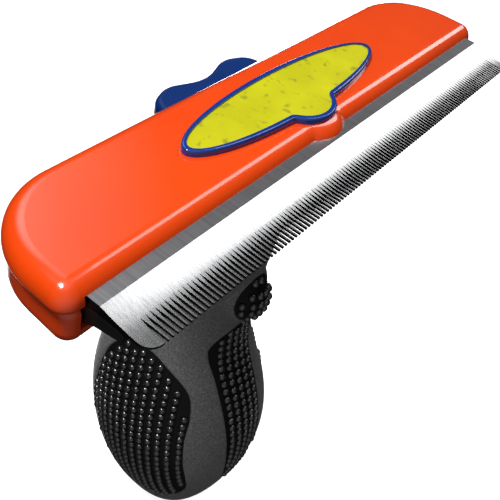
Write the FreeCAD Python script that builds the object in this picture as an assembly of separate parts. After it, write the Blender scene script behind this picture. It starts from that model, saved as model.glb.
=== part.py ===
import FreeCAD, Part
import math
import os
from FreeCAD import Vector

# Deshedding tool for pets: a wide slotted steel edge held between two moulded
# head shells, a thumb button at the back of the head that slides a hair
# ejector bar out under the edge, and an egg-shaped handle with rubber pads.
#
# Frame: millimetres, +X along the edge, -Y towards the teeth, +Z up.
# The origin is under the handle's end, in the middle of the tool's plan.

# ---- driving dimensions ----
overall_depth = 56.4        # teeth tips to the back of the palm swell
overall_height = 153.0      # handle end to the label's bezel
edge_width = 127.0          # width of the steel edge

# Steel edge: a flat strip, a crease, and a ground bevel cut into teeth
tip_y = -overall_depth / 2
crease_y = tip_y + 9.7
blade_top = overall_height - 3.3
blade_thickness = 1.9
blade_under = blade_top - blade_thickness
blade_back_y = crease_y + 16.5
tip_drop = 1.45             # how far the bevel falls from crease to tips
bevel_mid_drop = 1.08       # drop half way, more than half: hollow ground
blade_corner_r = 2.6
slot_count = 123
slot_pitch = 0.9876
slot_mouth = 0.66           # slot width at the tips
slot_width = 0.62           # slot width where its pointed end begins
slot_neck = 0.36            # slot width half way along its pointed end
slot_root_y = tip_y + 5.2
slot_point = 2.4            # length of the pointed inner end of a slot

# Head shells: half width at the front, half width at the back, front y, back y,
# front corner radius, back corner radius
front_y = crease_y + 2.3
back_y = crease_y + 26.3
upper_plan = (67.9, 66.9, front_y, back_y, 3.0, 17.0)
lower_plan = (66.7, 65.1, front_y + 0.5, back_y - 0.6, 2.5, 15.0)
wall = 2.0
shell_top = blade_top + 2.05
seam_z = blade_top - 2.65
shell_bottom = blade_top - 11.3
floor_z = shell_bottom + wall
seam_gap = 0.05             # each shell stops this far short of the parting plane
top_round = 3.4
upper_seam_round = 1.1
lower_seam_round = 1.6
bottom_round = 3.5
nose_y = crease_y + 9.5     # round nose under the badge lobe of the label
nose_r = 9.0
nose_root_r = 1.6
opening_half = edge_width / 2 + 0.4
collar_half = 15.5          # raised seat for the handle's neck
collar_inset = 1.6
collar_height = 0.6
collar_corner_r = 5.0

# Label
label_y = crease_y + 13.5
label_half_x = 30.9
label_half_y = 6.7
badge_y = crease_y + 11.6
badge_r = 8.2
label_junction_r = 1.3      # hollow corner where ellipse and badge lobe meet
bezel_width = 1.1
bezel_edge_r = 0.45
recess_depth = 0.8
bezel_top = overall_height
inlay_top = bezel_top - 0.3

# Ejector: wedge bar, flat slide, thumb button
travel = 6.5
run_gap = 0.3
bar_tip_y = crease_y - 4.7
bar_top = blade_under - 0.25
bar_under = blade_top - 7.1
bar_back_y = crease_y + 9.0
plate_top = bar_top - 1.25
plate_under = plate_top - 1.5
plate_front_y = bar_back_y - 3.5
plate_back_y = bar_back_y + 1.0
plate_half_x = 56.0
stem_half_x = 14.4
stem_under = floor_z + 2.3
stem_top = stem_under + 1.5
arm_x = 38.0
arm_half = 5.0
tab_y = front_y + 19.7
tab_thickness = 1.5
tab_half = 3.0
button_half_x = 16.2
button_top = seam_z - 1.9
button_under = floor_z + 0.3
button_ear_x = 9.4
button_ear_y = crease_y + 35.2
button_dip_y = crease_y + 33.4
button_front_y = front_y + 19.6
button_rim_r = 1.3
button_pocket = 4.05        # how deep the slide's stem sits in the button
flange_reach = 2.4          # flange that keeps the button behind the wall

# Return springs
spring_z = floor_z + 2.0
spring_mean_r = 1.45
spring_wire_r = 0.25
spring_turns = 5.0
points_per_turn = 16        # points that the coil's smooth path goes through
spring_pin_r = 0.8
rib_back_y = front_y + 9.5
rib_thickness = 1.5
rib_half = 4.0
spring_length = tab_y - rib_back_y

# Fasteners: places, then sizes
head_screw_x = (26.5, 52.0)
head_screw_y = front_y + 15.5
head_screw_r = 1.25
head_screw_seat = 2.2       # how deep the screw heads sit in the lower shell
head_screw_length = 9.5
head_post_r = 3.0
blade_screw_x = (-58.0, -40.0, 40.0, 58.0)
blade_screw_y = blade_back_y - 3.6
blade_screw_r = 1.0
blade_screw_length = 3.3
blade_post_r = 3.4
handle_bolt_x = 5.0
handle_bolt_y = front_y + 10.2
handle_bolt_length = 16.0
handle_bolt_r = 1.6
ejector_screw_x = (-48.0, -16.0, 16.0, 48.0)
ejector_screw_y = plate_front_y + 1.75
ejector_screw_r = 0.75
button_pin_x = 12.0
button_pin_y = button_front_y + 1.6
button_pin_r = 1.0

# Handle stations from the neck down: height, half width, front y, back y
handle_stations = [
    (shell_bottom - collar_height, 13.2, -11.6, 6.8),
    (122.0, 13.0, -11.0, 9.0),
    (104.0, 13.8, -10.0, 14.5),
    (88.0, 14.6, -9.6, 19.5),
    (76.0, 16.6, -10.8, 24.0),
    (62.0, 20.4, -16.8, 27.6),
    (50.0, 22.4, -21.0, 28.2),
    (38.0, 22.6, -22.0, 26.2),
    (27.0, 20.8, -20.2, 22.6),
    (16.0, 16.9, -16.6, 17.8),
    (8.0, 12.4, -12.8, 12.8),
    (2.4, 7.2, -8.2, 7.0),
    (0.0, 2.6, -3.8, 2.4),
]
section_power = 2.3         # 2 is an ellipse, more is squarer
section_points = 24
pad_thickness = 2.0
core_gap_z = 9.0            # solid rubber below the core
nub_y = -6.4                # finger rest: an upright egg half sunk in the front
nub_z = 99.6
nub_radii = (9.2, 8.9, 12.5)
finger_pad_half_z = 9.4
finger_pad_half_x = 6.6
finger_pad_z = nub_z - 0.6
pad_cutter_start = 4.0      # side pads are cut outward from this x
pad_cutter_reach = 40.0

# Pad outlines: side pad in side view (y, z), half of the front pad in front view (x, z)
side_pad_outline = [
    (4.4, 76.4), (-2.0, 73.6), (-8.2, 68.2), (-11.2, 61.2), (-12.4, 53.5), (-13.9, 45.8), (-15.5, 38.0),
    (-15.7, 31.0), (-13.0, 24.6), (-6.5, 21.4), (2.0, 22.8), (9.6, 28.6), (16.0, 37.5), (19.3, 48.5),
    (18.9, 59.5), (16.8, 68.0), (11.6, 74.4),
]
front_pad_half = [
    (0.0, 86.0), (5.0, 85.2), (8.3, 82.2), (8.8, 78.8), (7.6, 70.0), (7.5, 56.0), (7.2, 44.0), (5.6, 33.0),
    (3.0, 26.6), (0.0, 24.6),
]

near = 0.01                 # two lengths closer than this are the same
over = 1.0                  # how far a cutter runs past what it cuts


def box(x0, x1, y0, y1, z0, z1):
    return Part.makeBox(x1 - x0, y1 - y0, z1 - z0, Vector(x0, y0, z0))


def post(x, y, z0, z1, radius):
    return Part.makeCylinder(radius, z1 - z0, Vector(x, y, z0))


def prism(points, direction):
    """Straight-sided solid from a closed list of corner points."""
    wire = Part.makePolygon(points + points[:1])
    return Part.Face(wire).extrude(direction)


def is_upright(edge):
    first, last = edge.Vertexes[0].Point, edge.Vertexes[-1].Point
    return math.hypot(first.x - last.x, first.y - last.y) < near


def edges_at(shape, z):
    return [e for e in shape.Edges if abs(e.BoundBox.ZMin - z) < near and abs(e.BoundBox.ZMax - z) < near]


def head_block(plan, z0, z1, inset):
    """A shell's plan as a prism, slightly narrower at the back, with rounded corners."""
    front_half, back_half, y_front, y_back, front_r, back_r = plan
    corners = [
        Vector(-front_half, y_front, z0),
        Vector(front_half, y_front, z0),
        Vector(back_half, y_back, z0),
        Vector(-back_half, y_back, z0),
    ]
    block = prism(corners, Vector(0, 0, z1 - z0))
    front = [e for e in block.Edges if is_upright(e) and abs(e.BoundBox.YMin - y_front) < near]
    block = block.makeFillet(front_r, front)
    back = [e for e in block.Edges if is_upright(e) and abs(e.BoundBox.YMin - y_back) < near]
    block = block.makeFillet(back_r, back)
    if inset:
        outline = [f for f in block.Faces if f.normalAt(0, 0).z < -0.99][0].OuterWire
        block = Part.Face(outline.makeOffset2D(-inset)).extrude(Vector(0, 0, z1 - z0))
    return block


def add_nose(block, z0, z1):
    """Round nose in the middle of the front, blended into it at both roots."""
    block = block.fuse(post(0, nose_y, z0, z1, nose_r)).removeSplitter()
    roots = [e for e in block.Edges if is_upright(e) and e.BoundBox.YMax < front_y + near
             and abs(e.BoundBox.XMin) < nose_r]
    return block.makeFillet(nose_root_r, roots)


def label_block(z0, z1, shrink):
    """Ellipse with a round badge lobe at its front, drawn in by shrink."""
    ellipse = Part.Ellipse(Vector(0, label_y, z0), label_half_x - shrink, label_half_y - shrink)
    height = Vector(0, 0, z1 - z0)
    body = Part.Face(Part.Wire(ellipse.toShape())).extrude(height)
    body = body.fuse(post(0, badge_y, z0, z1, badge_r - shrink)).removeSplitter()
    hollows = [e for e in body.Edges if is_upright(e) and near < abs(e.BoundBox.XMin) < badge_r
               and e.BoundBox.YMax < badge_y]
    return body.makeFillet(label_junction_r + shrink, hollows)


def head_screw_places():
    return [(side * x, head_screw_y) for side in (-1, 1) for x in head_screw_x]


def make_upper_shell():
    lower_edge = seam_z + seam_gap
    ceiling = shell_top - wall
    shell = add_nose(head_block(upper_plan, lower_edge, shell_top, 0), lower_edge, shell_top)
    shell = shell.makeFillet(top_round, edges_at(shell, shell_top))
    shell = shell.makeFillet(upper_seam_round, edges_at(shell, lower_edge))
    shell = shell.cut(head_block(upper_plan, seam_z - over, ceiling, wall))
    for x, y in head_screw_places():
        shell = shell.fuse(post(x, y, seam_z + 0.6, ceiling + 0.1, head_post_r))
    for x in blade_screw_x:
        shell = shell.fuse(post(x, blade_screw_y, blade_top, ceiling + 0.1, blade_post_r))
    slot = box(-opening_half, opening_half, tip_y, blade_back_y + 0.4, seam_z - over, blade_top)
    shell = shell.cut(slot)
    for x, y in head_screw_places():
        shell = shell.cut(post(x, y, seam_z, shell_top - 1.2, head_screw_r))
    for x in blade_screw_x:
        shell = shell.cut(post(x, blade_screw_y, blade_top - over, shell_top - 0.5, blade_screw_r))
    return shell.cut(label_block(shell_top - recess_depth, shell_top + over, 0)).removeSplitter()


def make_lower_shell():
    upper_edge = seam_z - seam_gap
    shell = head_block(lower_plan, shell_bottom, upper_edge, 0)
    shell = shell.makeFillet(bottom_round, edges_at(shell, shell_bottom))
    shell = shell.makeFillet(lower_seam_round, edges_at(shell, upper_edge))
    shell = shell.cut(head_block(lower_plan, floor_z, seam_z + over, wall))
    collar = box(-collar_half, collar_half, front_y + collar_inset, back_y - collar_inset,
                 shell_bottom - collar_height, shell_bottom + over)
    shell = shell.fuse(collar.makeFillet(collar_corner_r, [e for e in collar.Edges if is_upright(e)]))
    for x, y in head_screw_places():
        shell = shell.fuse(post(x, y, floor_z - 0.1, seam_z + 0.6, head_post_r))
    for side in (-1, 1):
        rib = box(side * arm_x - rib_half, side * arm_x + rib_half, rib_back_y - rib_thickness, rib_back_y,
                  floor_z - 0.1, plate_under - run_gap)
        pin_start = Vector(side * arm_x, rib_back_y + over, spring_z)
        pin_hole = Part.makeCylinder(spring_pin_r, rib_thickness + 2 * over, pin_start, Vector(0, -1, 0))
        shell = shell.fuse(rib).cut(pin_hole)
    bar_mouth = box(-opening_half, opening_half, tip_y, front_y + 3.4, bar_under - run_gap, seam_z + over)
    mouth_half = button_half_x + run_gap
    button_mouth = box(-mouth_half, mouth_half, back_y - 2 * wall, back_y + 2 * wall,
                       floor_z, button_top + run_gap)
    shell = shell.cut(bar_mouth).cut(button_mouth)
    for x, y in head_screw_places():
        shell = shell.cut(post(x, y, shell_bottom - over, seam_z + 2 * over, 1.5))
        shell = shell.cut(post(x, y, shell_bottom - over, shell_bottom + head_screw_seat, 2.6))
    for side in (-1, 1):
        shell = shell.cut(post(side * handle_bolt_x, handle_bolt_y, shell_bottom - 2 * over, floor_z + over,
                               handle_bolt_r))
    return shell.removeSplitter()


def make_label_bezel():
    ring = label_block(shell_top - recess_depth, bezel_top, 0)
    ring = ring.makeFillet(bezel_edge_r, edges_at(ring, bezel_top))
    return ring.cut(label_block(shell_top - recess_depth - over, bezel_top + over, bezel_width))


def make_label_inlay():
    return label_block(shell_top - recess_depth, inlay_top, bezel_width)


def make_blade():
    """Flat strip behind the crease, hollow-ground bevel in front, slotted teeth."""
    half = edge_width / 2
    crease = Vector(-half, crease_y, blade_top)
    tip = Vector(-half, tip_y, blade_top - tip_drop)
    middle = Vector(-half, (crease_y + tip_y) / 2, blade_top - bevel_mid_drop)
    tip_under = Vector(-half, tip_y, blade_under)
    back_under = Vector(-half, blade_back_y, blade_under)
    back_top = Vector(-half, blade_back_y, blade_top)
    bevel = Part.Arc(crease, middle, tip).toShape()
    flats = [Part.makeLine(a, b) for a, b in
             ((tip, tip_under), (tip_under, back_under), (back_under, back_top), (back_top, crease))]
    section = Part.Face(Part.Wire([bevel] + flats))
    blade = section.extrude(Vector(edge_width, 0, 0))
    corners = [e for e in blade.Edges if is_upright(e) and e.BoundBox.YMax < tip_y + near]
    blade = blade.makeFillet(blade_corner_r, corners)
    below = blade_under - over
    slots = []
    for i in range(slot_count):
        x = (i - (slot_count - 1) / 2) * slot_pitch
        outline = [
            Vector(x - slot_mouth / 2, tip_y - over, below),
            Vector(x + slot_mouth / 2, tip_y - over, below),
            Vector(x + slot_width / 2, slot_root_y - slot_point, below),
            Vector(x + slot_neck / 2, slot_root_y - slot_point / 2, below),
            Vector(x, slot_root_y, below),
            Vector(x - slot_neck / 2, slot_root_y - slot_point / 2, below),
            Vector(x - slot_width / 2, slot_root_y - slot_point, below),
        ]
        slots.append(prism(outline, Vector(0, 0, blade_thickness + 2 * over)))
    blade = blade.cut(Part.makeCompound(slots))
    for x in blade_screw_x:
        blade = blade.cut(post(x, blade_screw_y, below, blade_top + over, blade_screw_r + 0.35))
    return blade


def screw(x, y, head_z, direction, head_r, head_h, shank_r, length):
    """Round-headed screw: the head's bearing face is at head_z, the shank goes along direction."""
    head = Part.makeCylinder(head_r, head_h, Vector(x, y, head_z), Vector(0, 0, -direction))
    head = head.makeFillet(head_h * 0.4, [head.Edges[0]])
    shank = Part.makeCylinder(shank_r, length, Vector(x, y, head_z), Vector(0, 0, direction))
    crown_z = head_z - direction * head_h
    drive_z = head_z - direction * head_h * 0.5
    arm, half_slot = head_r * 0.6, 0.3
    slot = box(x - arm, x + arm, y - half_slot, y + half_slot, min(crown_z, drive_z), max(crown_z, drive_z))
    cross = slot.fuse(slot.copy().rotate(Vector(x, y, 0), Vector(0, 0, 1), 90))
    return head.fuse(shank).cut(cross).removeSplitter()


def make_blade_screws():
    return Part.makeCompound([screw(x, blade_screw_y, blade_under, 1, 2.2, 1.2, blade_screw_r,
                                    blade_screw_length) for x in blade_screw_x])


def make_head_screws():
    bearing_z = shell_bottom + head_screw_seat
    return Part.makeCompound([screw(x, y, bearing_z, 1, 2.5, 1.5, head_screw_r, head_screw_length)
                              for x, y in head_screw_places()])


def make_handle_bolts():
    return Part.makeCompound([screw(side * handle_bolt_x, handle_bolt_y, floor_z, -1, 2.6, 2.0,
                                    handle_bolt_r, handle_bolt_length) for side in (-1, 1)])


def make_ejector_bar():
    """Wedge that lies under the bevel and is thickest behind the lip of the shell."""
    half = edge_width / 2
    outline = [
        (bar_tip_y, bar_top - 0.6),
        (bar_tip_y + 1.0, bar_top),
        (bar_back_y, bar_top),
        (bar_back_y, plate_top),
        (plate_front_y, plate_top),
        (plate_front_y, bar_under),
        (crease_y + 4.9, bar_under),
        (crease_y + 0.7, blade_top - 5.0),
        (bar_tip_y, blade_top - 3.9),
    ]
    bar = prism([Vector(-half, y, z) for y, z in outline], Vector(edge_width, 0, 0))
    for x in ejector_screw_x:
        bar = bar.cut(post(x, ejector_screw_y, plate_top - 0.1, bar_top - 0.3, ejector_screw_r))
    return bar


def make_ejector_slide():
    """Flat plate that carries the bar, two sprung arms and a dropped stem for the button."""
    plate = box(-plate_half_x, plate_half_x, plate_front_y, plate_back_y, plate_under, plate_top)
    riser = box(-stem_half_x, stem_half_x, plate_back_y - 1.5, plate_back_y, stem_under, plate_top)
    stem = box(-stem_half_x, stem_half_x, plate_back_y - 1.5, button_front_y + button_pocket - 0.05,
               stem_under, stem_top)
    plate = plate.fuse([riser, stem])
    for side in (-1, 1):
        arm = box(side * arm_x - arm_half, side * arm_x + arm_half, bar_back_y, tab_y + tab_thickness,
                  plate_under, plate_top)
        tab = box(side * arm_x - tab_half, side * arm_x + tab_half, tab_y, tab_y + tab_thickness,
                  floor_z + run_gap, plate_top)
        plate = plate.fuse([arm, tab])
    plate = plate.removeSplitter()
    stem_edge = [e for e in plate.Edges if is_upright(e) and e.BoundBox.YMin > button_front_y + 3
                 and abs(e.BoundBox.XMin) < stem_half_x + near]
    plate = plate.makeFillet(1.5, stem_edge)
    for x in ejector_screw_x:
        plate = plate.cut(post(x, ejector_screw_y, plate_under - over, plate_top + over,
                               ejector_screw_r + 0.25))
    for side in (-1, 1):
        plate = plate.cut(post(side * button_pin_x, button_pin_y, stem_under - over, stem_top + over,
                               button_pin_r))
    return plate


def make_ejector_button():
    """Thumb button with two rounded ears and a dip between them."""
    right = [
        Vector(button_half_x, button_front_y, button_under),
        Vector(button_half_x, button_ear_y - 1.6, button_under),
        Vector(button_ear_x, button_ear_y + 0.9, button_under),
        Vector(0, button_dip_y - 0.5, button_under),
    ]
    left = [Vector(-p.x, p.y, p.z) for p in right[2::-1]]
    button = prism(right + left, Vector(0, 0, button_top - button_under))
    for x, radius in ((button_half_x, 5.0), (button_ear_x, 7.0), (0, 12.0)):
        bends = [e for e in button.Edges if is_upright(e) and e.BoundBox.YMin > back_y
                 and abs(abs(e.BoundBox.XMin) - x) < near]
        button = button.makeFillet(radius, bends)
    rims = [e for e in edges_at(button, button_top) + edges_at(button, button_under)
            if e.BoundBox.YMax > button_front_y + 0.1]
    button = button.makeFillet(button_rim_r, rims)
    flange_back_y = lower_plan[3] - wall - run_gap
    flange = box(-button_half_x - flange_reach, button_half_x + flange_reach, button_front_y, flange_back_y,
                 button_under, button_top)
    button = button.fuse(flange).removeSplitter()
    pocket_half = stem_half_x + 0.05
    pocket = box(-pocket_half, pocket_half, button_front_y - over, button_front_y + button_pocket,
                 stem_under, stem_top)
    button = button.cut(pocket)
    for side in (-1, 1):
        button = button.cut(post(side * button_pin_x, button_pin_y, button_under - over, button_top + over,
                                 button_pin_r))
    return button


def make_ejector_screws():
    return Part.makeCompound([screw(x, ejector_screw_y, plate_under, 1, 1.5, 0.9, ejector_screw_r, 2.4)
                              for x in ejector_screw_x])


def make_button_pins():
    return Part.makeCompound([post(side * button_pin_x, button_pin_y, button_under + 0.4, button_top - 0.2,
                                   button_pin_r) for side in (-1, 1)])


def make_spring(side):
    pitch = (spring_length - 2 * spring_wire_r) / spring_turns
    points = []
    for i in range(int(spring_turns * points_per_turn) + 1):
        angle = 2 * math.pi * i / points_per_turn
        points.append(Vector(spring_mean_r * math.cos(angle), spring_mean_r * math.sin(angle),
                             pitch * i / points_per_turn))
    path = Part.BSplineCurve()
    path.interpolate(points)
    circle = Part.makeCircle(spring_wire_r, points[0], path.tangent(path.FirstParameter)[0])
    coil = Part.Wire(path.toShape()).makePipeShell([Part.Wire(circle)], True, True)
    coil.rotate(Vector(0, 0, 0), Vector(1, 0, 0), -90)
    coil.translate(Vector(side * arm_x, rib_back_y + spring_wire_r, spring_z))
    return coil


def make_spring_pin(side):
    start = Vector(side * arm_x, rib_back_y - rib_thickness, spring_z)
    length = rib_thickness + spring_length - travel - 0.4
    return Part.makeCylinder(spring_pin_r, length, start, Vector(0, 1, 0))


def section_wire(station, inset):
    """Closed superellipse at one height of the handle, drawn in by inset."""
    z, half_x, y_front, y_back = station
    half_y = (y_back - y_front) / 2 - inset
    points = []
    for i in range(section_points):
        angle = 2 * math.pi * i / section_points
        c, s = math.cos(angle), math.sin(angle)
        x = (half_x - inset) * math.copysign(abs(c) ** (2 / section_power), c)
        y = (y_front + y_back) / 2 + half_y * math.copysign(abs(s) ** (2 / section_power), s)
        points.append(Vector(x, y, z))
    curve = Part.BSplineCurve()
    curve.interpolate(points, PeriodicFlag=True)
    return Part.Wire(curve.toShape())


def handle_form(inset, stations):
    return Part.makeLoft([section_wire(s, inset) for s in stations], True, False, False, 5)


def nub_form(shrink):
    ball = Part.makeSphere(1.0)
    scale = FreeCAD.Matrix()
    scale.scale(nub_radii[0] - shrink, nub_radii[1] - shrink, nub_radii[2] - shrink)
    ball = ball.transformGeometry(scale)
    ball.translate(Vector(0, nub_y, nub_z))
    return ball


def outline_cutter(points, direction):
    """Prism with a smooth closed outline through the points."""
    curve = Part.BSplineCurve()
    curve.interpolate(points, PeriodicFlag=True)
    return Part.Face(Part.Wire(curve.toShape())).extrude(direction)


def side_pad_cutter(side):
    points = [Vector(side * pad_cutter_start, y, z) for y, z in side_pad_outline]
    return outline_cutter(points, Vector(side * (pad_cutter_reach - pad_cutter_start), 0, 0))


def front_pad_cutter():
    outline = front_pad_half + [(-x, z) for x, z in front_pad_half[-2:0:-1]]
    return outline_cutter([Vector(x, 0, z) for x, z in outline], Vector(0, -pad_cutter_reach, 0))


def finger_pad_cutter():
    ellipse = Part.Ellipse(Vector(0, 0, 0), finger_pad_half_z, finger_pad_half_x)
    face = Part.Face(Part.Wire(ellipse.toShape()))
    face.rotate(Vector(0, 0, 0), Vector(0, 1, 0), 90)
    face.rotate(Vector(0, 0, 0), Vector(0, 0, 1), 90)
    face.translate(Vector(0, nub_y - 2.0, finger_pad_z))
    return face.extrude(Vector(0, -pad_cutter_reach, 0))


def make_handle():
    outer = handle_form(0, handle_stations)
    core_stations = [s for s in handle_stations if s[0] > core_gap_z]
    inner = handle_form(pad_thickness, core_stations)
    nub = nub_form(0)
    finger_grip = nub.cut(nub_form(pad_thickness)).common(finger_pad_cutter())
    skin = outer.cut(inner)
    pads = {
        "side_grip_left": skin.common(side_pad_cutter(-1)),
        "side_grip_right": skin.common(side_pad_cutter(1)),
        "front_grip": skin.common(front_pad_cutter()),
        "finger_rest_grip": finger_grip,
    }
    body = skin.fuse(nub.cut(inner))
    for cutter in (side_pad_cutter(-1), side_pad_cutter(1), front_pad_cutter()):
        body = body.cut(cutter)
    body = body.cut(finger_grip)
    core = inner
    for side in (-1, 1):
        core = core.cut(post(side * handle_bolt_x, handle_bolt_y, floor_z - handle_bolt_length - 0.2, floor_z,
                             handle_bolt_r))
    pieces = {"handle_body": body, "handle_core": core}
    pieces.update(pads)
    return pieces


def main():
    pieces = {
        "upper_shell": make_upper_shell(),
        "lower_shell": make_lower_shell(),
        "label_bezel": make_label_bezel(),
        "label_inlay": make_label_inlay(),
        "blade": make_blade(),
        "blade_screws": make_blade_screws(),
        "head_screws": make_head_screws(),
        "handle_bolts": make_handle_bolts(),
        "ejector_bar": make_ejector_bar(),
        "ejector_slide": make_ejector_slide(),
        "ejector_button": make_ejector_button(),
        "ejector_screws": make_ejector_screws(),
        "button_pins": make_button_pins(),
    }
    for side, name in ((-1, "left"), (1, "right")):
        pieces["return_spring_" + name] = make_spring(side)
        pieces["spring_pin_" + name] = make_spring_pin(side)
    pieces.update(make_handle())
    os.makedirs("parts", exist_ok=True)
    for name, shape in pieces.items():
        print(name, "valid", shape.isValid(), "solids", len(shape.Solids), "volume", round(shape.Volume, 1))
        shape.exportStep(os.path.join("parts", name + ".step"))


main()
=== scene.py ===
import math

import bpy
import numpy as np
from mathutils import Matrix, Vector


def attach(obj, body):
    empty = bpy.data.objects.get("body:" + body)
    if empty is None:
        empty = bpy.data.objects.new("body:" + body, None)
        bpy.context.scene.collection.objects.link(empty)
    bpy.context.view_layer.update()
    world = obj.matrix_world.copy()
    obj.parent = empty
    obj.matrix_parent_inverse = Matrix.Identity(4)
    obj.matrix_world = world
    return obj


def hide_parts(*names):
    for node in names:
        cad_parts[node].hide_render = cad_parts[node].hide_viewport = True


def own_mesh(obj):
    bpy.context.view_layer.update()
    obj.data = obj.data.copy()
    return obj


# Looks of a deshedding tool. The head, label, steel edge, button and fittings are
# the CAD parts with materials. The handle's skin, its dotted rubber pads and the
# two return springs are finer meshes that replace their CAD parts.
# Sizes are in millimetres and become metres where a mesh is made.

MM = 0.001
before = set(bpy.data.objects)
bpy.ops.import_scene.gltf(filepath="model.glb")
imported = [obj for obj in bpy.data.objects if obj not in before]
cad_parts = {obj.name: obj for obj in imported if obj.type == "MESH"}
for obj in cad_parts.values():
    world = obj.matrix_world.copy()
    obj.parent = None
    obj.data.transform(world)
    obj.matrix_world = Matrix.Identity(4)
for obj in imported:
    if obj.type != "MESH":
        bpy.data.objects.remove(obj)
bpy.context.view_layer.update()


# ---- camera ----
camera_place = Vector((-116.997, -64.666, 230.764)) * MM
camera_right = Vector((0.59576, -0.77687, 0.20383))
camera_up = Vector((0.46070, 0.53843, 0.70559))
camera_back = Vector((-0.65789, -0.32646, 0.67868))
camera_lens = 55.44


def make_camera():
    data = bpy.data.cameras.new("camera")
    data.lens = camera_lens
    data.clip_start = 0.01
    data.clip_end = 20.0
    camera = bpy.data.objects.new("camera", data)
    bpy.context.scene.collection.objects.link(camera)
    turn = Matrix((camera_right, camera_up, camera_back)).transposed()
    camera.matrix_world = Matrix.Translation(camera_place) @ turn.to_4x4()
    bpy.context.scene.camera = camera


# ---- materials ----
def new_material(name):
    material = bpy.data.materials.new(name)
    material.use_nodes = True
    return material, material.node_tree, material.node_tree.nodes["Principled BSDF"]


def add_node(tree, kind, **values):
    """A node with its sockets set by name and its other settings as attributes."""
    node = tree.nodes.new(kind)
    for key, value in values.items():
        if key in node.inputs:
            node.inputs[key].default_value = value
        else:
            setattr(node, key, value)
    return node


def stretched_place(tree, stretch=(1, 1, 1)):
    """Object coordinates scaled by stretch, so that noise becomes streaks."""
    place = add_node(tree, "ShaderNodeTexCoord")
    mapping = add_node(tree, "ShaderNodeMapping", Scale=stretch)
    tree.links.new(place.outputs["Object"], mapping.inputs["Vector"])
    return mapping.outputs["Vector"]


def noise(tree, vector, scale, detail=3.0):
    node = add_node(tree, "ShaderNodeTexNoise", Scale=scale, Detail=detail)
    tree.links.new(vector, node.inputs["Vector"])
    return node.outputs["Fac"]


def ramp(tree, factor, stops):
    """Colour ramp from (position, colour) pairs."""
    node = add_node(tree, "ShaderNodeValToRGB")
    elements = node.color_ramp.elements
    while len(elements) < len(stops):
        elements.new(0.5)
    for element, (position, color) in zip(elements, stops):
        element.position = position
        element.color = (*color, 1.0)
    tree.links.new(factor, node.inputs["Fac"])
    return node.outputs["Color"]


def map_range(tree, value, start, end, low=0.0, high=1.0):
    """The value's stretch from start to end mapped on low..high, clamped at both ends."""
    limits = {"From Min": start, "From Max": end, "To Min": low, "To Max": high}
    node = add_node(tree, "ShaderNodeMapRange", **limits)
    tree.links.new(value, node.inputs["Value"])
    return node.outputs["Result"]


def spread(tree, factor, low, high):
    """The middle range of a noise mapped on low..high."""
    return map_range(tree, factor, 0.3, 0.7, low, high)


def mix_colors(tree, factor, first, second):
    """Mix of two colours, each a socket or a fixed colour."""
    node = add_node(tree, "ShaderNodeMix", data_type="RGBA")
    tree.links.new(factor, node.inputs["Factor"])
    # The colour sockets go by number, because the number and vector ones have the same names
    color_a, color_b = node.inputs[6], node.inputs[7]
    for socket, source in ((color_a, first), (color_b, second)):
        if isinstance(source, tuple):
            socket.default_value = (*source, 1.0)
        else:
            tree.links.new(source, socket)
    return node.outputs[2]


def bump(tree, shader, height, strength, depth):
    """Relief on the shader's normal; depth is in millimetres."""
    node = add_node(tree, "ShaderNodeBump", Strength=strength, Distance=depth * MM)
    tree.links.new(height, node.inputs["Height"])
    tree.links.new(node.outputs["Normal"], shader.inputs["Normal"])


gloss_swing = 0.04              # how much a plastic's roughness varies either way
moulded_depth = 0.05            # relief of moulded plastic, millimetres
brushed_depth = 0.03            # relief of brushed and ground steel
print_depth = 0.04              # relief of the label's print
grain_depth = 0.12              # relief of the handle's soft-touch skin


def plastic(name, dark, light, roughness, coat=0.0, mottle_scale=60.0, grain_scale=1500.0,
            grain_strength=0.04, specular=0.5, coat_roughness=0.06):
    """Moulded plastic: slow colour mottling, a fine surface grain and uneven gloss."""
    material, tree, shader = new_material(name)
    place = stretched_place(tree)
    mottle = ramp(tree, noise(tree, place, mottle_scale), [(0.35, dark), (0.65, light)])
    tree.links.new(mottle, shader.inputs["Base Color"])
    gloss = spread(tree, noise(tree, place, mottle_scale * 5), roughness - gloss_swing,
                   roughness + gloss_swing)
    tree.links.new(gloss, shader.inputs["Roughness"])
    shader.inputs["Specular IOR Level"].default_value = specular
    shader.inputs["Coat Weight"].default_value = coat
    shader.inputs["Coat Roughness"].default_value = coat_roughness
    bump(tree, shader, noise(tree, place, grain_scale), grain_strength, moulded_depth)
    return material


def rubber_material(name, roughness, coat, specular, coat_roughness=0.06):
    return plastic(name, (0.004, 0.004, 0.0045), (0.008, 0.008, 0.009), roughness, coat=coat,
                   grain_scale=2600.0, grain_strength=0.1, specular=specular,
                   coat_roughness=coat_roughness)


def metal(name, dark, light, roughness, streak):
    """Brushed metal: streaks in colour, gloss and height along one direction."""
    material, tree, shader = new_material(name)
    shader.inputs["Metallic"].default_value = 1.0
    lines = noise(tree, stretched_place(tree, streak), 700.0, 4.0)
    tree.links.new(ramp(tree, lines, [(0.3, dark), (0.7, light)]), shader.inputs["Base Color"])
    tree.links.new(spread(tree, lines, roughness - 0.05, roughness + 0.07), shader.inputs["Roughness"])
    bump(tree, shader, lines, 0.1, brushed_depth)
    return material


crease_y = -18.5 * MM           # where the flat strip of the steel edge meets its bevel
crease_blur = 0.08 * MM         # half the width of the change from one to the other


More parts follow.
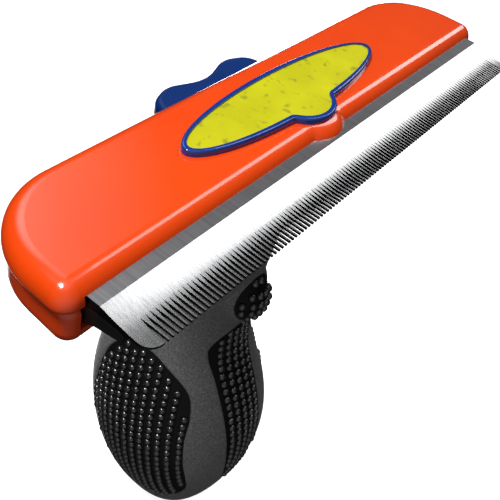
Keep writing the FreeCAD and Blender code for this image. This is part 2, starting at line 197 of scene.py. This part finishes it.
def edge_material():
    """Steel edge: a strip brushed lengthways, a bevel ground across and painted lighter as a painted
    highlight, and slot walls painted dark as painted shade.
    """
    material, tree, shader = new_material("edge_steel")
    shader.inputs["Metallic"].default_value = 1.0
    place = add_node(tree, "ShaderNodeTexCoord")
    place_parts = add_node(tree, "ShaderNodeSeparateXYZ")
    tree.links.new(place.outputs["Object"], place_parts.inputs["Vector"])
    facing = add_node(tree, "ShaderNodeNewGeometry")
    facing_parts = add_node(tree, "ShaderNodeSeparateXYZ")
    tree.links.new(facing.outputs["Normal"], facing_parts.inputs["Vector"])
    on_bevel = map_range(tree, place_parts.outputs["Y"], crease_y + crease_blur, crease_y - crease_blur)
    # Faces that look up keep the steel's colour; the slot walls, facing sideways, get the painted shade
    clear_of_painted_shade = map_range(tree, facing_parts.outputs["Z"], 0.3, 0.6)

    # Colour streaks run across on both; the relief runs lengthways on the strip
    lengthways = noise(tree, stretched_place(tree, (0.05, 1, 1)), 2200, 4.0)
    across = noise(tree, stretched_place(tree, (1, 0.03, 1)), 2600, 3.0)
    cloud = noise(tree, stretched_place(tree), 130, 4.0)
    # Painted highlight: the bevel's steel is painted lighter than the strip's, standing for the key light's
    # reflection there, and the strip's darker steel is painted shade of the same kind; their different
    # roughness is the real finish
    strip = ramp(tree, across, [(0.3, (0.30, 0.305, 0.325)), (0.65, (0.42, 0.425, 0.445))])
    bevel = ramp(tree, across, [(0.25, (0.42, 0.425, 0.435)), (0.6, (0.56, 0.565, 0.57))])
    top = mix_colors(tree, on_bevel, strip, bevel)
    cloud_share = ramp(tree, cloud, [(0.42, (0.12, 0.12, 0.12)), (0.6, (0, 0, 0))])
    clouded = mix_colors(tree, cloud_share, top, (0.30, 0.30, 0.31))
    # Painted shade: the slot walls are painted near black, standing for the shade inside the slots
    color = mix_colors(tree, clear_of_painted_shade, (0.05, 0.05, 0.055), clouded)
    tree.links.new(color, shader.inputs["Base Color"])
    tree.links.new(map_range(tree, on_bevel, 0.0, 1.0, 0.34, 0.24), shader.inputs["Roughness"])
    bump(tree, shader, mix_colors(tree, on_bevel, lengthways, across), 0.08, brushed_depth)
    return material


def label_material():
    """Printed label: yellow with faint olive flecks where ink has worn."""
    material, tree, shader = new_material("label_print")
    place = stretched_place(tree)
    base = ramp(tree, noise(tree, place, 90, 4.0),
                [(0.4, (0.50, 0.485, 0.003)), (0.62, (0.59, 0.575, 0.005))])
    flecks = ramp(tree, noise(tree, place, 420, 2.0), [(0.59, (0, 0, 0)), (0.69, (1, 1, 1))])
    tree.links.new(mix_colors(tree, flecks, base, (0.33, 0.34, 0.012)), shader.inputs["Base Color"])
    shader.inputs["Roughness"].default_value = 0.45
    shader.inputs["Specular IOR Level"].default_value = 0.25
    bump(tree, shader, noise(tree, place, 1200), 0.08, print_depth)
    return material


def skin_material():
    """Matt soft-touch plastic with a leather-like grain that catches light at the edges."""
    material, tree, shader = new_material("handle_skin")
    place = stretched_place(tree)
    grain = noise(tree, place, 2100, 2.0)
    tree.links.new(ramp(tree, grain, [(0.35, (0.10, 0.10, 0.104)), (0.7, (0.22, 0.22, 0.227))]),
                   shader.inputs["Base Color"])
    tree.links.new(spread(tree, noise(tree, place, 300), 0.42, 0.52), shader.inputs["Roughness"])
    shader.inputs["Sheen Weight"].default_value = 0.12
    shader.inputs["Sheen Roughness"].default_value = 0.4
    bump(tree, shader, grain, 0.55, grain_depth)
    return material


materials = {
    "shell": plastic("shell_gloss", (0.83, 0.058, 0.001), (0.89, 0.068, 0.0015), 0.19, coat=0.8,
                     mottle_scale=40, grain_scale=900, grain_strength=0.02),
    "bezel": plastic("bezel_gloss", (0.003, 0.033, 0.22), (0.004, 0.042, 0.26), 0.16, coat=0.4),
    "label": label_material(),
    "button": plastic("button_satin", (0.001, 0.022, 0.13), (0.0015, 0.028, 0.16), 0.38, specular=0.2),
    "bar": plastic("bar_black", (0.004, 0.004, 0.004), (0.007, 0.007, 0.007), 0.4),
    "slide": plastic("slide_nylon", (0.50, 0.49, 0.46), (0.58, 0.57, 0.54), 0.5),
    "core": plastic("core_nylon", (0.05, 0.05, 0.052), (0.07, 0.07, 0.072), 0.55),
    "screw": metal("screw_steel", (0.42, 0.42, 0.43), (0.6, 0.6, 0.61), 0.28, (1, 1, 8)),
    "spring": metal("spring_steel", (0.5, 0.5, 0.5), (0.66, 0.66, 0.66), 0.25, (1, 6, 1)),
    "edge": edge_material(),
    "skin": skin_material(),
    "ground": rubber_material("grip_ground", 0.55, 0.0, specular=0.15),
    "dome": rubber_material("grip_dome", 0.24, 1.0, specular=1.0, coat_roughness=0.2),
}

node_materials = {
    "upper_shell": "shell", "lower_shell": "shell", "label_bezel": "bezel", "label_inlay": "label",
    "blade_screws": "screw", "head_screws": "screw", "handle_bolts": "screw", "ejector_screws": "screw",
    "button_pins": "screw", "ejector_bar": "bar", "ejector_slide": "slide", "ejector_button": "button",
    "return_spring_left": "spring", "return_spring_right": "spring", "spring_pin_left": "screw",
    "spring_pin_right": "screw", "handle_body": "skin", "handle_core": "core", "side_grip_left": "ground",
    "side_grip_right": "ground", "front_grip": "ground", "finger_rest_grip": "ground", "blade": "edge",
}


def paint_nodes():
    for name, key in node_materials.items():
        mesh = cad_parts[name].data
        mesh.materials.clear()
        mesh.materials.append(materials[key])


# ---- meshes ----
def make_piece(name, points, faces, key):
    """Mesh object in metres from points in millimetres, riding on the tool's body."""
    mesh = bpy.data.meshes.new(name)
    mesh.from_pydata((np.asarray(points) * MM).tolist(), [], [list(face) for face in faces])
    mesh.materials.append(materials[key])
    mesh.polygons.foreach_set("use_smooth", np.full(len(mesh.polygons), True))
    mesh.validate()
    mesh.update()
    piece = bpy.data.objects.new(name, mesh)
    bpy.context.scene.collection.objects.link(piece)
    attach(piece, "tool")
    return piece


def make_piece_of_used(name, points, faces, key):
    """Piece with only the points that its faces use."""
    used = sorted({i for face in faces for i in face})
    index = {old: new for new, old in enumerate(used)}
    return make_piece(name, points[used], [[index[i] for i in face] for face in faces], key)


def natural_spline(knots, values):
    """Cubic spline through rows of values; returns a function of the parameter."""
    knots = np.asarray(knots, float)
    values = np.asarray(values, float)
    n = len(knots)
    h = np.diff(knots)
    system = np.eye(n)
    right = np.zeros_like(values)
    for i in range(1, n - 1):
        system[i, i - 1:i + 2] = h[i - 1], 2 * (h[i - 1] + h[i]), h[i]
        right[i] = 6 * ((values[i + 1] - values[i]) / h[i] - (values[i] - values[i - 1]) / h[i - 1])
    bend = np.linalg.solve(system, right)

    def at(t):
        i = np.clip(np.searchsorted(knots, t, side="right") - 1, 0, n - 2)
        step = h[i][:, None]
        a = (knots[i + 1] - t)[:, None]
        b = (t - knots[i])[:, None]
        return (bend[i] * a ** 3 + bend[i + 1] * b ** 3) / (6 * step) \
            + (values[i] / step - bend[i] * step / 6) * a \
            + (values[i + 1] / step - bend[i + 1] * step / 6) * b

    return at


def smooth_outline(points, per_span=14):
    """Closed smooth curve through the points."""
    points = np.asarray(points, float)
    result = []
    for i in range(len(points)):
        p0, p1, p2, p3 = (points[(i + k) % len(points)] for k in (-1, 0, 1, 2))
        for u in np.linspace(0, 1, per_span, endpoint=False):
            result.append(0.5 * (2 * p1 + (p2 - p0) * u + (2 * p0 - 5 * p1 + 4 * p2 - p3) * u ** 2
                                 + (3 * p1 - p0 - 3 * p2 + p3) * u ** 3))
    return np.array(result)


def signed_distance(places, outline):
    """Distance to a closed outline, negative inside."""
    best = np.full(len(places), np.inf)
    inside = np.zeros(len(places), bool)
    ends = np.roll(outline, -1, axis=0)
    for a, b in zip(outline, ends):
        d = b - a
        w = places - a
        t = np.clip((w @ d) / max(d @ d, 1e-12), 0, 1)
        best = np.minimum(best, ((w - t[:, None] * d) ** 2).sum(1))
        crosses = (a[1] > places[:, 1]) != (b[1] > places[:, 1])
        rise = d[1] if abs(d[1]) > 1e-12 else 1e-12
        inside ^= crosses & (places[:, 0] < a[0] + (places[:, 1] - a[1]) * d[0] / rise)
    best = np.sqrt(best)
    return np.where(inside, -best, best)


# ---- handle ----
# Stations from the neck down: height, half width, front y, back y
handle_stations = np.array([
    (137.8, 13.2, -11.6, 6.8), (122.0, 13.0, -11.0, 9.0), (104.0, 13.8, -10.0, 14.5),
    (88.0, 14.6, -9.6, 19.5), (76.0, 16.6, -10.8, 24.0), (62.0, 20.4, -16.8, 27.6),
    (50.0, 22.4, -21.0, 28.2), (38.0, 22.6, -22.0, 26.2), (27.0, 20.8, -20.2, 22.6),
    (16.0, 16.9, -16.6, 17.8), (8.0, 12.4, -12.8, 12.8), (2.4, 7.2, -8.2, 7.0),
    (0.0, 2.6, -3.8, 2.4),
])
section_power = 2.3
nub_place = (-4.3, 96.4)            # y and z of the finger rest's middle
nub_radii = (8.6, 10.4, 8.8)        # along x, y and z
nub_blend = 2.2                     # width of the soft change from handle to finger rest
nowhere_y = 50.0                    # behind the handle, where there is no finger rest

# Pad outlines, the side pads' in y and z, and the other two in x and z
side_pad = smooth_outline([
    (4.4, 76.4), (-2.0, 73.6), (-8.2, 68.2), (-11.2, 61.2), (-12.4, 53.5), (-13.9, 45.8), (-15.5, 38.0),
    (-15.7, 31.0), (-13.0, 24.6), (-6.5, 21.4), (2.0, 22.8), (9.6, 28.6), (16.0, 37.5), (19.3, 48.5),
    (18.9, 59.5), (16.8, 68.0), (11.6, 74.4),
])
front_half = [(0.0, 86.0), (5.0, 85.2), (8.3, 82.2), (8.8, 78.8), (7.6, 70.0), (7.5, 56.0), (7.2, 44.0),
              (5.6, 33.0), (3.0, 26.6), (0.0, 24.6)]
front_pad = smooth_outline(front_half + [(-x, z) for x, z in front_half[-2:0:-1]])
finger_pad_turns = np.linspace(0, 2 * math.pi, 120, endpoint=False)
finger_pad = np.array([(6.9 * math.cos(a), 97.4 + 6.4 * math.sin(a)) for a in finger_pad_turns])

ring_count = 340
column_count = 280
lip_width = 0.6                     # the skin rolls down this far from a pad's outline
lip_drop = 0.35                     # depth of the roll at the outline
ground_depth = 0.55                 # the pads' floors lie this far below the handle's surface
wall_depth = 1.2                    # the skin's walls go down this far, past the floors
far_outside = 99.0                  # signed distance given to points that no outline can hold

station_steps = np.linalg.norm(np.diff(handle_stations, axis=0), axis=1)
station_knots = np.concatenate([[0], np.cumsum(station_steps)])
handle_profile = natural_spline(station_knots, handle_stations)
handle_length = station_knots[-1]


def signed_power(value, power):
    return np.sign(value) * np.abs(value) ** power


def handle_surface(t, angle):
    """Points of the handle's outer surface, finger rest included.

    t is the way down the stations, and angle goes round from +x through +y (the back).
    """
    z, half_x, y_front, y_back = handle_profile(t).T
    x = half_x * signed_power(np.cos(angle), 2 / section_power)
    s = np.sin(angle)
    y = (y_front + y_back) / 2 + (y_back - y_front) / 2 * signed_power(s, 2 / section_power)
    left = 1 - (x / nub_radii[0]) ** 2 - ((z - nub_place[1]) / nub_radii[2]) ** 2
    nub_front = nub_place[0] - nub_radii[1] * np.sqrt(np.maximum(left, 0))
    nub = np.where((left > 0) & (s < 0), nub_front, nowhere_y)
    share = np.clip(0.5 + 0.5 * (y - nub) / nub_blend, 0, 1)
    y = y * (1 - share) + nub * share - nub_blend * share * (1 - share)
    return np.stack([x, y, z], 1)


def handle_normals(t, angle):
    """Outward normals, from small steps along and round the surface."""
    step = 0.02
    along = handle_surface(np.minimum(t + step, handle_length), angle) \
        - handle_surface(np.maximum(t - step, 0), angle)
    around = handle_surface(t, angle + step / 10) - handle_surface(t, angle - step / 10)
    normal = np.cross(along, around)
    length = np.linalg.norm(normal, axis=1, keepdims=True)
    return normal / np.maximum(length, 1e-12)


pad_names = ("side_grip_left", "side_grip_right", "front_grip", "finger_rest_grip")


def pad_field(points, axes, outline, wanted):
    """Signed distance to a pad's outline for the wanted points, and far outside for the others."""
    field = np.full(len(points), far_outside)
    field[wanted] = signed_distance(points[wanted][:, axes], outline)
    return field


def pad_fields(points):
    """Signed distance to each pad's outline, one row for each of pad_names."""
    x, y, z = points.T
    beside = (z > 15) & (z < 85)
    ahead = (y < 0) & (np.abs(x) < 11) & (z > 18) & (z < 90)
    on_nub = (y < -8.6) & (np.abs(x) < 9) & (z > 87) & (z < 112)
    return np.array([
        pad_field(points, [1, 2], side_pad, beside & (x < -4)),
        pad_field(points, [1, 2], side_pad, beside & (x > 4)),
        pad_field(points, [0, 2], front_pad, ahead),
        pad_field(points, [0, 2], finger_pad, on_nub),
    ])


def split_at_outlines(grid_t, grid_a, field, owner):
    """Grid faces shared out between the skin and the pads, cut where the field crosses zero.

    Returns the skin's faces, each pad's faces, the seams between them, and the
    surface parameters of the new points that lie on the outlines.
    """
    cut_t, cut_a = [], []
    cuts = {}

    def cut(i, j):
        """Number of the point where the edge from i to j crosses an outline."""
        low, high = min(i, j), max(i, j)
        if (low, high) not in cuts:
            cuts[low, high] = len(grid_t) + len(cut_t)
            share = field[low] / (field[low] - field[high])
            turn = grid_a[high] - grid_a[low]
            if abs(turn) > math.pi:
                turn -= math.copysign(2 * math.pi, turn)
            cut_t.append(grid_t[low] + share * (grid_t[high] - grid_t[low]))
            cut_a.append(grid_a[low] + share * turn)
        return cuts[low, high]

    skin_faces, seams = [], []
    pad_faces = [[] for _ in pad_names]
    for r in range(ring_count - 1):
        for c in range(column_count):
            n = (c + 1) % column_count
            corners = (r * column_count + c, (r + 1) * column_count + c,
                       (r + 1) * column_count + n, r * column_count + n)
            inside = [field[i] < 0 for i in corners]
            if not any(inside):
                skin_faces.append(corners)
                continue
            pad = pad_faces[owner[corners[inside.index(True)]]]
            if all(inside):
                pad.append(corners)
                continue
            outer, inner, crossings = [], [], []
            for k, i in enumerate(corners):
                following = (k + 1) % 4
                (inner if inside[k] else outer).append(i)
                if inside[k] != inside[following]:
                    p = cut(i, corners[following])
                    outer.append(p)
                    inner.append(p)
                    crossings.append((p, inside[k]))
            skin_faces.append(outer)
            pad.append(inner)
            if len(crossings) == 2:
                (p, leaving), (q, _) = crossings
                seams.append((p, q) if leaving else (q, p))
    return skin_faces, pad_faces, seams, cut_t, cut_a


def make_handle():
    """Skin split from the pads exactly along their outlines, with sunk pad floors."""
    grid_t = np.repeat(np.linspace(0, handle_length, ring_count), column_count)
    grid_a = np.tile(np.linspace(0, 2 * math.pi, column_count, endpoint=False), ring_count)
    fields = pad_fields(handle_surface(grid_t, grid_a))
    field = fields.min(0)
    skin_faces, pad_faces, seams, cut_t, cut_a = split_at_outlines(grid_t, grid_a, field, fields.argmin(0))

    all_t = np.concatenate([grid_t, cut_t])
    all_a = np.concatenate([grid_a, cut_a])
    surface = handle_surface(all_t, all_a)
    normal = handle_normals(all_t, all_a)
    distance = np.concatenate([field, np.zeros(len(cut_t))])

    # The skin rolls down a quarter oval at the outlines; 0.999 keeps its end off the vertical
    roll = np.clip(1 - distance / lip_width, 0, 1)
    roll[distance < 0] = 0
    skin_points = surface - normal * (lip_drop * (1 - np.sqrt(1 - 0.999 * roll ** 2)))[:, None]
    # From there a wall goes down into the handle, round the pad's floor
    cut_ids = np.arange(len(grid_t), len(surface))
    wall_points = surface[cut_ids] - normal[cut_ids] * wall_depth
    wall_of = {i: len(surface) + k for k, i in enumerate(cut_ids)}
    walls = [(p, q, wall_of[q], wall_of[p]) for p, q in seams]
    top_cap = list(range(column_count))
    end_cap = list(range((ring_count - 1) * column_count, ring_count * column_count))[::-1]
    skin = make_piece_of_used("handle_skin", np.vstack([skin_points, wall_points]),
                              skin_faces + walls + [top_cap, end_cap], "skin")
    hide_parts("handle_body")
    for name, faces in zip(pad_names, pad_faces):
        floor = make_piece_of_used(name + "_floor", surface - normal * ground_depth, faces, "ground")
        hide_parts(name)


# ---- domes of the dotted pads ----
# Patterns: first dome, step to the next column, step to the next row
side_grid = ((-9.0, 67.24), (2.47, -1.62), (-0.376, -2.18))
front_grid = ((-5.4, 80.2), (2.75, -0.9), (0.0, -2.3))
finger_grid = ((-5.7, 98.4), (2.25, -0.2), (-0.1, -2.45))
grid_columns = range(-20, 21)
grid_rows = range(-30, 31)
dome_radius = 1.02
dome_margin = 0.95                  # least distance from a dome's middle to its pad's outline
finger_dome_radius = 0.98
finger_dome_margin = 0.8
finger_dome_stretch = 1.1           # how much longer a dome is down the slope than across
dome_segments = 14
dome_rings = 6
dome_reach = math.radians(104)      # from the dome's top to just below its widest ring
search_rings = 700                  # the domes' places are looked up on a grid this fine
search_columns = 400

# For each way of facing: the angles round the handle, and the two axes that a pattern has
facing = {
    "left": ((math.pi / 2, 3 * math.pi / 2), [1, 2]),
    "right": ((-math.pi / 2, math.pi / 2), [1, 2]),
    "front": ((math.pi, 2 * math.pi), [0, 2]),
}


def nearest_on_handle(way, places):
    """Surface parameters where the handle meets straight lines through the places."""
    (first, last), axes = facing[way]
    fine_t = np.repeat(np.linspace(0, handle_length, search_rings), search_columns)
    fine_a = np.tile(np.linspace(first, last, search_columns), search_rings)
    seen = handle_surface(fine_t, fine_a)[:, axes]
    chosen = [int(((seen - place) ** 2).sum(1).argmin()) for place in places]
    return fine_t[chosen], fine_a[chosen]


def grid_places(grid, outline, margin):
    """Places of a slanted grid that lie inside the outline by more than the margin."""
    first, column, row = np.array(grid)
    places = np.array([first + column * c + row * r for c in grid_columns for r in grid_rows])
    return places[signed_distance(places, outline) < -margin]


def dome_shape():
    """Unit half ball, slightly more than half deep."""
    points = [(0, 0, 1.0)]
    faces = []
    for k in range(1, dome_rings + 1):
        tilt = dome_reach * k / dome_rings
        for s in range(dome_segments):
            turn = 2 * math.pi * s / dome_segments
            points.append((math.sin(tilt) * math.cos(turn), math.sin(tilt) * math.sin(turn), math.cos(tilt)))
    for s in range(dome_segments):
        n = (s + 1) % dome_segments
        faces.append((0, 1 + s, 1 + n))
        for k in range(dome_rings - 1):
            a, b = 1 + k * dome_segments, 1 + (k + 1) * dome_segments
            faces.append((a + s, b + s, b + n, a + n))
    return np.array(points), faces


def make_domes(name, way, places, radius=dome_radius, stretch=1.0):
    """One pad's domes in one mesh, each standing square to the handle's surface."""
    t, angle = nearest_on_handle(way, places)
    ball, ball_faces = dome_shape()
    ball = ball * radius
    points, faces = [], []
    for centre, normal in zip(handle_surface(t, angle), handle_normals(t, angle)):
        down = np.array((0, 0, -1.0)) + normal * normal[2]
        down /= np.linalg.norm(down)
        across = np.cross(down, normal)
        base = len(points) * len(ball)
        points.append(centre - normal * ground_depth + ball[:, :1] * across
                      + ball[:, 1:2] * down * stretch + ball[:, 2:] * normal)
        faces.extend(tuple(i + base for i in face) for face in ball_faces)
    make_piece(name, np.vstack(points), faces, "dome")


def make_all_domes():
    side_places = grid_places(side_grid, side_pad, dome_margin)
    front_places = grid_places(front_grid, front_pad, dome_margin)
    finger_places = grid_places(finger_grid, finger_pad, finger_dome_margin)
    make_domes("side_grip_left_domes", "left", side_places)
    make_domes("side_grip_right_domes", "right", side_places)
    make_domes("front_grip_domes", "front", front_places)
    make_domes("finger_rest_domes", "front", finger_places, finger_dome_radius, finger_dome_stretch)


# ---- return springs ----
spring_x = 38.0
spring_z = 142.4
spring_start_y = -6.7
spring_length = 10.2
spring_turns = 5.0
spring_mean_r = 1.45
spring_wire_r = 0.25
spring_closing = 0.06               # draws the end turns together
spring_steps = 200
wire_sides = 10


def make_spring(side, name):
    """Coil with closed end turns, lying along y from spring_start_y."""
    points, faces = [], []
    for k in range(spring_steps + 1):
        u = k / spring_steps
        turn = 2 * math.pi * spring_turns * u
        eased = u - spring_closing * math.sin(2 * math.pi * u)
        y = spring_start_y + spring_wire_r + (spring_length - 2 * spring_wire_r) * eased
        radial = np.array((math.cos(turn), 0, math.sin(turn)))
        centre = np.array((side * spring_x, y, spring_z)) + spring_mean_r * radial
        for s in range(wire_sides):
            a = 2 * math.pi * s / wire_sides
            outward = math.cos(a) * radial + math.sin(a) * np.array((0, 1.0, 0))
            points.append(centre + spring_wire_r * outward)
    for k in range(spring_steps):
        a, b = k * wire_sides, (k + 1) * wire_sides
        for s in range(wire_sides):
            n = (s + 1) % wire_sides
            faces.append((a + s, a + n, b + n, b + s))
    first_ring = range(wire_sides)
    last_ring = range(spring_steps * wire_sides, (spring_steps + 1) * wire_sides)
    faces.append(tuple(first_ring)[::-1])
    faces.append(tuple(last_ring))
    piece = make_piece(name + "_coil", points, faces, "spring")
    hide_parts(name)
    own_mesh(piece)


# ---- surroundings ----
def make_floor():
    mesh = bpy.data.meshes.new("floor")
    half = 3.0
    corners = [(-half, -half, 0), (half, -half, 0), (half, half, 0), (-half, half, 0)]
    mesh.from_pydata(corners, [], [(0, 1, 2, 3)])
    material, tree, shader = new_material("floor_pale")
    cloud = noise(tree, stretched_place(tree), 3)
    pale = ramp(tree, cloud, [(0.3, (0.86, 0.86, 0.86)), (0.7, (0.9, 0.9, 0.9))])
    tree.links.new(pale, shader.inputs["Base Color"])
    shader.inputs["Roughness"].default_value = 0.8
    shader.inputs["Emission Color"].default_value = (1, 1, 1, 1)
    shader.inputs["Emission Strength"].default_value = 0.85
    mesh.materials.append(material)
    floor = bpy.data.objects.new("floor", mesh)
    bpy.context.scene.collection.objects.link(floor)
    floor.visible_glossy = False
    floor.visible_diffuse = False


# Soft round glows: direction, cosine at the rim, cosine where 0.3 is reached, strength
glows = (
    ((0.30, 0.68, 0.67), 0.92, 0.965, 2.2),     # mirrored by the left end of the head
    ((0.47, 0.57, -0.68), 0.93, 0.965, 3.5),    # behind and below, mirrored by the object's outline
    ((-0.70, -0.66, 0.12), 0.2, 0.6, 0.36),     # broad and dim, in front on the left
)


def make_world():
    """White to the camera, and a dim graded studio with soft glows to everything else."""
    world = bpy.data.worlds.new("studio")
    world.use_nodes = True
    tree = world.node_tree
    tree.nodes.clear()
    place = add_node(tree, "ShaderNodeTexCoord")
    split = add_node(tree, "ShaderNodeSeparateXYZ")
    tree.links.new(place.outputs["Generated"], split.inputs["Vector"])
    sky = ramp(tree, split.outputs["Z"], [(0.0, (0.02, 0.02, 0.02)), (0.25, (0.05, 0.05, 0.05)),
                                          (0.6, (0.07, 0.07, 0.07)), (0.85, (0.16, 0.16, 0.16)),
                                          (1.0, (0.85, 0.85, 0.85))])
    studio = add_node(tree, "ShaderNodeBackground")
    tree.links.new(sky, studio.inputs["Color"])
    light = studio.outputs["Background"]
    for direction, rim, middle, strength in glows:
        toward = add_node(tree, "ShaderNodeVectorMath", operation="DOT_PRODUCT")
        tree.links.new(place.outputs["Generated"], toward.inputs[0])
        toward.inputs[1].default_value = Vector(direction).normalized()
        glow_color = ramp(tree, toward.outputs["Value"],
                          [(rim, (0, 0, 0)), (middle, (0.3, 0.3, 0.3)), (1.0, (1, 1, 1))])
        glow = add_node(tree, "ShaderNodeBackground", Strength=strength)
        tree.links.new(glow_color, glow.inputs["Color"])
        both = add_node(tree, "ShaderNodeAddShader")
        tree.links.new(light, both.inputs[0])
        tree.links.new(glow.outputs["Background"], both.inputs[1])
        light = both.outputs["Shader"]
    white = add_node(tree, "ShaderNodeBackground", Color=(1, 1, 1, 1), Strength=1.0)
    ray = add_node(tree, "ShaderNodeLightPath")
    mix = add_node(tree, "ShaderNodeMixShader")
    tree.links.new(ray.outputs["Is Camera Ray"], mix.inputs["Fac"])
    tree.links.new(light, mix.inputs[1])
    tree.links.new(white.outputs["Background"], mix.inputs[2])
    output = add_node(tree, "ShaderNodeOutputWorld")
    tree.links.new(mix.outputs["Shader"], output.inputs["Surface"])
    bpy.context.scene.world = world


light_target = Vector((0.0, -5.0, 120.0)) * MM


def area_light(name, direction, distance, size, power, along=None):
    """Rectangular light facing the object; along sets the direction of its long side."""
    data = bpy.data.lights.new(name, "AREA")
    data.shape = "RECTANGLE"
    data.size, data.size_y = size
    data.energy = power
    lamp = bpy.data.objects.new(name, data)
    bpy.context.scene.collection.objects.link(lamp)
    back = Vector(direction).normalized()
    long_side = Vector(along) if along else Vector((0, 0, 1)).cross(back)
    long_side = (long_side - back * long_side.dot(back)).normalized()
    turn = Matrix((long_side, back.cross(long_side), back)).transposed()
    lamp.matrix_world = Matrix.Translation(light_target + back * distance) @ turn.to_4x4()


def make_lights():
    area_light("key_strip", (0.715, -0.04, 0.698), 0.9, (0.62, 0.22), 1.65, along=(0.67, 0.0, -0.74))
    area_light("spark", (-0.40, 0.20, 0.90), 0.7, (0.13, 0.13), 4.2)
    area_light("rim_right", (0.80, 0.50, -0.33), 0.8, (0.25, 0.5), 3)


make_camera()
make_world()
make_lights()
make_floor()
paint_nodes()
make_handle()
make_all_domes()
make_spring(-1, "return_spring_left")
make_spring(1, "return_spring_right")
bpy.context.scene.view_settings.view_transform = "Standard"
